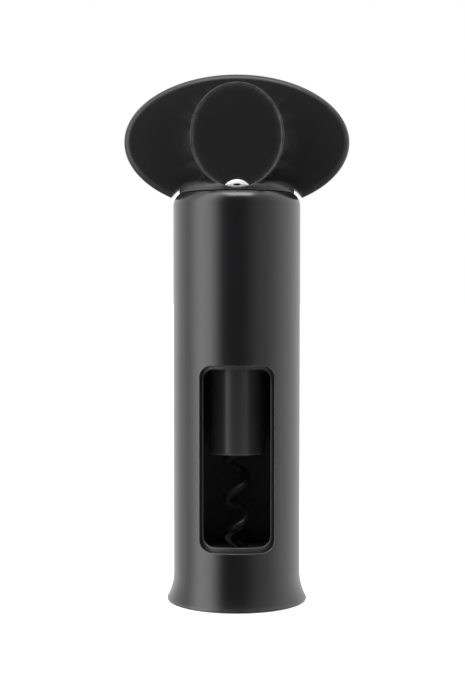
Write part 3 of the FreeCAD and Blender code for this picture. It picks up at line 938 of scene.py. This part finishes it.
def screw_master():
    """One countersunk screw with a six-lobed recess, standing on the origin with its top at zero."""

    def recess(t):
        return RECESS_R + RECESS_WAVE * math.cos(RECESS_LOBES * t)

    rows = [
        lambda t: (recess(t) * 0.05, -0.7),
        lambda t: (recess(t) * 0.92, -0.68),
        lambda t: (recess(t), -0.1),
        lambda t: (recess(t) + 0.1, -0.02),
        lambda t: (SCREW_HEAD_R - 0.2, -0.02),
        lambda t: (SCREW_HEAD_R - 0.04, -0.12),
        lambda t: (SCREW_SHAFT_R, -1.5),
        lambda t: (SCREW_SHAFT_R, -SCREW_LENGTH + 0.5),
        lambda t: (0.7, -SCREW_LENGTH + 0.05),
        lambda t: (AXIS_R, -SCREW_LENGTH + 0.05),
    ]
    points = []
    for row in rows:
        for s in range(SCREW_STEPS):
            t = 2 * math.pi * s / SCREW_STEPS
            r, z = row(t)
            points.append((r * math.cos(t), r * math.sin(t), z))
    faces = bands(len(rows), SCREW_STEPS)
    for k in (0, len(rows) - 1):
        faces.append(tuple(k * SCREW_STEPS + s for s in range(SCREW_STEPS)))
    return make_object("screw_master", points, faces, 30)


def around_tree():
    """Copies of an object on a circle of points."""
    sizes = [
        ("Piece", "NodeSocketObject", None),
        ("Count", "NodeSocketInt", 3),
        ("Circle radius", "NodeSocketFloat", 0.01),
        ("Height", "NodeSocketFloat", 0.0),
        ("First angle", "NodeSocketFloat", 0.0),
        ("Finish", "NodeSocketMaterial", None),
    ]
    tree, start, end = new_tree("copies on a circle", sizes)
    size = start.outputs
    link = tree.links.new
    add = tree.nodes.new
    circle = add("GeometryNodeMeshCircle")
    link(size["Count"], circle.inputs["Vertices"])
    link(size["Circle radius"], circle.inputs["Radius"])
    turn = add("ShaderNodeCombineXYZ")
    lift = add("ShaderNodeCombineXYZ")
    link(size["First angle"], turn.inputs["Z"])
    link(size["Height"], lift.inputs["Z"])
    place = add("GeometryNodeTransform")
    link(circle.outputs[0], place.inputs["Geometry"])
    link(lift.outputs[0], place.inputs["Translation"])
    link(turn.outputs[0], place.inputs["Rotation"])
    piece = add("GeometryNodeObjectInfo")
    link(size["Piece"], piece.inputs["Object"])
    copies = add("GeometryNodeInstanceOnPoints")
    link(place.outputs[0], copies.inputs["Points"])
    link(piece.outputs["Geometry"], copies.inputs["Instance"])
    solid = add("GeometryNodeRealizeInstances")
    paint = add("GeometryNodeSetMaterial")
    link(copies.outputs[0], solid.inputs[0])
    link(solid.outputs[0], paint.inputs["Geometry"])
    link(size["Finish"], paint.inputs["Material"])
    link(paint.outputs[0], end.inputs[0])
    return tree


around_recipe = around_tree()


def grown(name, recipe, values):
    """Run a recipe on an empty carrier and keep the result as a plain mesh."""
    carrier = new_object(name + "_carrier", bpy.data.meshes.new(name + "_carrier"))
    mod = carrier.modifiers.new("recipe", "NODES")
    mod.node_group = recipe
    set_inputs(mod, values)
    bpy.context.view_layer.update()
    obj = new_object(name, baked_mesh(carrier))
    bpy.data.objects.remove(carrier)
    soften(obj, 50)
    return obj


print("recipes:", worm_recipe.name, "and", around_recipe.name)

# %% [markdown]
# ## Edge marks
#
# Handling polishes a satin moulding first where it turns a corner. A vertex attribute called edge holds how
# sharply the surface turns at each point, measured from the angles between neighbouring faces, and the
# finishes below read it to lighten and roughen those places. The lightening is partly rubbed wear and partly
# a painted highlight line along the corners.


# %% Edge attribute
def mark_edges(obj, low=7.0, high=18.0, passes=2):
    """Store 0 on flat stretches and 1 where the surface turns quickly."""
    mesh = obj.data
    bm = bmesh.new()
    bm.from_mesh(mesh)
    bm.verts.ensure_lookup_table()
    values = []
    for v in bm.verts:
        turn = max((e.calc_face_angle(0.0) for e in v.link_edges), default=0.0)
        values.append(max(0.0, min(1.0, (math.degrees(turn) - low) / (high - low))))
    for _ in range(passes):
        spread_out = list(values)
        for v in bm.verts:
            near = [values[e.other_vert(v).index] for e in v.link_edges]
            if near:
                spread_out[v.index] = 0.5 * values[v.index] + 0.5 * sum(near) / len(near)
        values = spread_out
    bm.free()
    layer = mesh.attributes.new("edge", "FLOAT", "POINT")
    layer.data.foreach_set("value", values)
    return sum(values) / max(1, len(values))


print("edge marks ready")

# %% [markdown]
# ## Finishes
#
# One recipe makes them all: a base colour that drifts a little, a roughness that drifts more, a fine grain
# in the bump, and edges that are lighter, partly as rubbed wear and partly as a painted highlight. Turned
# metal adds rings that run round the spindle's axis.
# Everything reads Object coordinates, so the pattern stays on the piece when it moves, and values that are
# the same all over are set on the shader's own sockets.

# %% Finish recipe
WEAR_AND_HIGHLIGHT_SCALE = 420.0
SHADE_SCALE = 130.0
SMEAR_SCALE = 55.0
GRAIN_HEIGHT = 0.0002
NOISE_SPAN = (0.3, 0.7)
SATIN = {"grain": 2600, "bump": 0.02, "drift": 0.06, "rough_drift": 0.02}


def finish(name, colour, rough, metallic=0.0, grain=3200.0, bump=0.05, drift=0.12,
           rough_drift=0.06, edge_wear_and_highlight=0.0, edge_rough=0.0, rings=0.0, specular=0.5):
    """One material; its edges are lightened partly as rubbed wear and partly as a painted highlight, and
    edges without that lightening keep the drifting colour.
    """
    mat = bpy.data.materials.new(name)
    mat.use_nodes = True
    mat.diffuse_color = (*colour, 1.0)
    tree = mat.node_tree
    tree.nodes.clear()
    link = tree.links.new
    add = tree.nodes.new
    out = add("ShaderNodeOutputMaterial")
    shader = add("ShaderNodeBsdfPrincipled")
    link(shader.outputs[0], out.inputs[0])
    shader.inputs["Metallic"].default_value = metallic
    shader.inputs["Specular IOR Level"].default_value = specular
    where = add("ShaderNodeTexCoord").outputs["Object"]

    def noise(scale, detail=3.0):
        node = add("ShaderNodeTexNoise")
        node.inputs["Scale"].default_value = scale
        node.inputs["Detail"].default_value = detail
        link(where, node.inputs["Vector"])
        return node.outputs["Fac"]

    def remap(value, low, high):
        return map_range(tree, value, *NOISE_SPAN, low, high, smooth=False)

    edge = add("ShaderNodeAttribute")
    edge.attribute_name = "edge"
    wear_and_highlight = maths(tree, "MULTIPLY", edge.outputs["Fac"], remap(noise(WEAR_AND_HIGHLIGHT_SCALE), 0.35, 1.0))

    shade = add("ShaderNodeMix")
    shade.data_type = "RGBA"
    low = [c * (1 - drift) for c in colour]
    high = [min(1.0, c * (1 + drift)) for c in colour]
    shade.inputs[6].default_value = (*low, 1.0)
    shade.inputs[7].default_value = (*high, 1.0)
    link(noise(SHADE_SCALE), shade.inputs[0])
    # Edges are mixed towards a lighter colour: partly rubbed wear, partly a painted highlight line along the
    # corners.
    rubbed_and_highlit = add("ShaderNodeMix")
    rubbed_and_highlit.data_type = "RGBA"
    link(maths(tree, "MULTIPLY", wear_and_highlight, 1.0 if edge_wear_and_highlight else 0.0), rubbed_and_highlit.inputs[0])
    link(shade.outputs[2], rubbed_and_highlit.inputs[6])
    rubbed_and_highlit.inputs[7].default_value = (*[min(1.0, c + edge_wear_and_highlight) for c in colour], 1.0)
    link(rubbed_and_highlit.outputs[2], shader.inputs["Base Color"])

    smear = remap(noise(SMEAR_SCALE, 4.0), rough - rough_drift, rough + rough_drift)
    link(maths(tree, "ADD", smear, maths(tree, "MULTIPLY", wear_and_highlight, edge_rough)), shader.inputs["Roughness"])

    height = noise(grain, 2.0)
    if rings:
        wave = add("ShaderNodeTexWave")
        wave.wave_type = "BANDS"
        wave.bands_direction = "Z"
        wave.inputs["Scale"].default_value = rings
        wave.inputs["Distortion"].default_value = 1.5
        wave.inputs["Detail"].default_value = 2.0
        wave.inputs["Detail Scale"].default_value = 3.0
        link(where, wave.inputs["Vector"])
        height = maths(tree, "ADD", maths(tree, "MULTIPLY", height, 0.4), wave.outputs["Fac"])
    relief = add("ShaderNodeBump")
    relief.inputs["Strength"].default_value = bump
    relief.inputs["Distance"].default_value = GRAIN_HEIGHT
    link(height, relief.inputs["Height"])
    link(relief.outputs[0], shader.inputs["Normal"])
    return mat


# %% [markdown]
# The body is dark satin plastic, smooth enough to carry a soft reflection down the tube. The handle and its
# covers are a little duller, the covers a shade darker, the liner is matt, and the worm wears a dark
# non-stick coat.

# %% All finishes
DARK = (0.005, 0.005, 0.0056)
# The edge lightening in these finishes is partly rubbed wear and partly a painted highlight along the
# corners.
finishes = {
    "shell": finish("satin_shell", DARK, 0.23, edge_wear_and_highlight=0.04, edge_rough=0.05, **SATIN),
    "grip": finish("satin_handle", DARK, 0.38, edge_wear_and_highlight=0.04, edge_rough=0.05, specular=0.34, **SATIN),
    "cover": finish("satin_cover", (0.0045, 0.0045, 0.005), 0.38, edge_wear_and_highlight=0.05, specular=0.34, **SATIN),
    "liner": finish("matt_liner", (0.016, 0.016, 0.017), 0.50, grain=1800, bump=0.06, edge_wear_and_highlight=0.01),
    "sleeve": finish("satin_sleeve", (0.018, 0.018, 0.0195), 0.33, grain=2400, bump=0.03, drift=0.06,
                     rough_drift=0.02, edge_wear_and_highlight=0.05),
    "moulded": finish("moulded_black", (0.02, 0.02, 0.021), 0.5, grain=900, bump=0.12),
    "worm": finish("coated_worm", (0.006, 0.006, 0.0065), 0.38, grain=1600, bump=0.05, specular=0.2),
    "chrome": finish("blasted_chrome", (0.93, 0.935, 0.94), 0.62, 1.0, 3000, 0.02, 0.02, 0.04),
    "steel": finish("ground_steel", (0.56, 0.56, 0.57), 0.26, 1.0, 3000, 0.03, 0.05, 0.06, rings=1400),
    "zinc": finish("zinc_plate", (0.62, 0.61, 0.58), 0.34, 1.0, 1500, 0.05, 0.08, 0.08),
    "bronze": finish("bronze", (0.60, 0.40, 0.20), 0.34, 1.0, 1500, 0.04, 0.10, 0.06, rings=1100),
    "spring": finish("blued_spring", (0.12, 0.13, 0.17), 0.35, 1.0, 1500, 0.04, 0.15, 0.08),
    "rubber": finish("black_rubber", (0.018, 0.018, 0.018), 0.75, grain=700, bump=0.2),
}


def dress(obj, look):
    """Give an object one finish."""
    slots = obj.data.materials
    if not slots:
        slots.append(finishes[look])
    for i in range(len(slots)):
        slots[i] = finishes[look]
    return obj


print(len(finishes), "finishes")

# %% [markdown]
# ## Grow the worm and the screws
#
# With the finishes made, the two recipes can run. Each result is turned to a plain mesh before it is put on
# its body.

# %% Worm and screws
worm = grown(
    "worm_finish",
    worm_recipe,
    {
        "Coil radius": COIL_R * MM,
        "Pitch": COIL_PITCH * MM,
        "Wire radius": WIRE_R * MM,
        "Tip radius": TIP_R * MM,
        "Tip height": (worm_lo + TIP_CUT) * MM,
        "Top height": SHANK_TOP_Z * MM,
        "Finish": finishes["worm"],
    },
)
screw = screw_master()
screws = grown(
    "crown_screws",
    around_recipe,
    {
        "Piece": screw,
        "Count": 3,
        "Circle radius": SCREW_PCD_R * MM,
        "Height": shell_top * MM,
        "First angle": math.pi / 2,
        "Finish": finishes["zinc"],
    },
)
bpy.data.objects.remove(screw)
print("worm", len(worm.data.polygons), "faces; screws", len(screws.data.polygons), "faces")

# %% [markdown]
# ## Put every piece on its body
#
# Each new piece stands in for one CAD node and rides the same body, so it moves as the real one would. The
# rest of the nodes keep their CAD shapes and only get a finish.

# %% Ride, replace and dress
made = [
    (shell, "body_shell", "body", "shell"),
    (liner, "inner_liner", "body", "liner"),
    (seat, "bottle_seat", "body", "liner"),
    (screws, "bearing_screws", "body", "zinc"),
    (sleeve, "guide_sleeve", "carriage", "sleeve"),
    (grip, "handle_grip", "handle", "grip"),
    (front_cover, "front_cover", "handle", "cover"),
    (rear_cover, "rear_cover", "handle", "cover"),
    (key, "cross_key", "handle", "chrome"),
    (spindle, "spindle", "handle", "steel"),
    (worm, "worm", "handle", "worm"),
]
for piece, node, body, look in made:
    dress(piece, look)
    mark_edges(piece)
    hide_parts(node)
    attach(piece, body)

kept = {
    "top_bearing": "moulded",
    "spindle_bush": "bronze",
    "guide_keys": "moulded",
    "stop_ring": "rubber",
    "carrier_disc": "moulded",
    "thrust_washer": "bronze",
    "lower_bush": "bronze",
    "sleeve_plug": "moulded",
    "spindle_washer": "zinc",
    "spindle_nut": "zinc",
    "spindle_clip": "spring",
    "worm_pin": "steel",
}
for node, look in kept.items():
    dress(nodes[node], look)
    print(node, "wears", finishes[look].name)

# %% [markdown]
# ## Studio
#
# Dark satin plastic shows its surroundings more than its own colour, so the studio is drawn as a few broad
# panels standing round the corkscrew. It is dark straight in front and grows lighter towards the back. A
# bright panel stands front left, and three dimmer ones stand back left, front right and back right. Below the
# horizon the light fades, and overhead it grows a little. Only the camera sees a plain white backdrop.

# %% World
WALL_DEGREES = (12, 76)
WALL_LIGHT = (0.03, 0.95)
PANELS = ((-61, 6, 39, 3.2), (-125, 10, 50, 0.5), (36, 2, 30, 0.25), (108, 8, 58, 0.8))
BELOW_HORIZON = (-0.65, -0.2, 0.2, 1.0)
OVERHEAD_GLOW = (0.3, 1.0, 0.0, 0.25)

world = bpy.data.worlds.new("studio")
bpy.context.scene.world = world
world.use_nodes = True
sky = world.node_tree
sky.nodes.clear()
sky_out = sky.nodes.new("ShaderNodeOutputWorld")
sky_light = sky.nodes.new("ShaderNodeBackground")
sky.links.new(sky_light.outputs[0], sky_out.inputs[0])
direction = sky.nodes.new("ShaderNodeSeparateXYZ")
sky.links.new(sky.nodes.new("ShaderNodeTexCoord").outputs["Generated"], direction.inputs[0])
to_front = maths(sky, "MULTIPLY", direction.outputs["Y"], -1.0)
turned = maths(sky, "ARCTAN2", direction.outputs["X"], to_front)


def panel(centre, flat, soft, strength):
    """A soft panel: its middle and half widths in degrees from the front, plus to the right."""
    off = maths(sky, "ABSOLUTE", maths(sky, "SUBTRACT", turned, math.radians(centre)))
    return map_range(sky, off, math.radians(flat), math.radians(soft), strength, 0.0)


wall = [math.radians(a) for a in WALL_DEGREES]
height = direction.outputs["Z"]
strength = map_range(sky, maths(sky, "ABSOLUTE", turned), *wall, *WALL_LIGHT)
for shape in PANELS:
    strength = maths(sky, "ADD", strength, panel(*shape))
strength = maths(sky, "MULTIPLY", strength, map_range(sky, height, *BELOW_HORIZON))
strength = maths(sky, "ADD", strength, map_range(sky, height, *OVERHEAD_GLOW))
seen = sky.nodes.new("ShaderNodeLightPath").outputs["Is Camera Ray"]
backdrop = sky.nodes.new("ShaderNodeMix")
sky.links.new(seen, backdrop.inputs[0])
sky.links.new(strength, backdrop.inputs[2])
backdrop.inputs[3].default_value = 1.0
sky.links.new(backdrop.outputs[0], sky_light.inputs["Strength"])
sky_light.inputs["Color"].default_value = (1, 1, 1, 1)
print("world ready")

# %% [markdown]
# One soft panel hangs overhead, a little in front. It lights the shoulder and runs a line along the rims.

# %% Overhead light
MIDDLE = (0, 0, 0.09)
OVERHEAD_PLACE = (0.04, -0.32, 0.85)
OVERHEAD_SIZE = (0.5, 0.35)
OVERHEAD_POWER = 5.0

lamp = bpy.data.lights.new("overhead", "AREA")
lamp.shape = "RECTANGLE"
lamp.size, lamp.size_y = OVERHEAD_SIZE
lamp.energy = OVERHEAD_POWER
overhead = new_object("overhead", lamp)
overhead.location = OVERHEAD_PLACE
aim = Vector(MIDDLE) - Vector(OVERHEAD_PLACE)
overhead.rotation_euler = aim.to_track_quat("-Z", "Y").to_euler()
print("overhead light ready")

# %% [markdown]
# The floor is plain and pale, a hair under the foot.

# %% Floor
FLOOR_REACH = 30.0
FLOOR_FRONT = 2.0
FLOOR_DROP = 0.0002

floor_mesh = bpy.data.meshes.new("floor")
corners = [(-1, -FLOOR_FRONT), (1, -FLOOR_FRONT), (1, FLOOR_REACH), (-1, FLOOR_REACH)]
corners = [(side * FLOOR_REACH, y, -FLOOR_DROP) for side, y in corners]
floor_mesh.from_pydata(corners, [], [(0, 1, 2, 3)])
floor = new_object("floor", floor_mesh)
pale = bpy.data.materials.new("pale_floor")
pale.use_nodes = True
pale_shader = pale.node_tree.nodes["Principled BSDF"]
pale_shader.inputs["Base Color"].default_value = (0.9, 0.9, 0.9, 1)
pale_shader.inputs["Roughness"].default_value = 0.7
pale_shader.inputs["Emission Color"].default_value = (1, 1, 1, 1)
pale_shader.inputs["Emission Strength"].default_value = 0.45
floor.data.materials.append(pale)
floor.visible_glossy = False
print("floor ready")

# %% [markdown]
# ## Camera
#
# A moderate telephoto a little under half a metre away, a bit above the window, tipped down two degrees.

# %% Camera
LENS = 69.4
CAMERA_PLACE = (-0.00143, -0.4486, 0.09963)
CAMERA_TILT = 2.12

cam_data = bpy.data.cameras.new("camera")
cam_data.lens = LENS
cam_data.sensor_width = 36.0
cam_data.clip_start = 0.01
cam_data.clip_end = 100.0
camera = new_object("camera", cam_data)
camera.location = CAMERA_PLACE
camera.rotation_euler = (math.radians(90 - CAMERA_TILT), 0, 0)
bpy.context.scene.camera = camera
bpy.context.scene.view_settings.view_transform = "Standard"
print("camera ready")
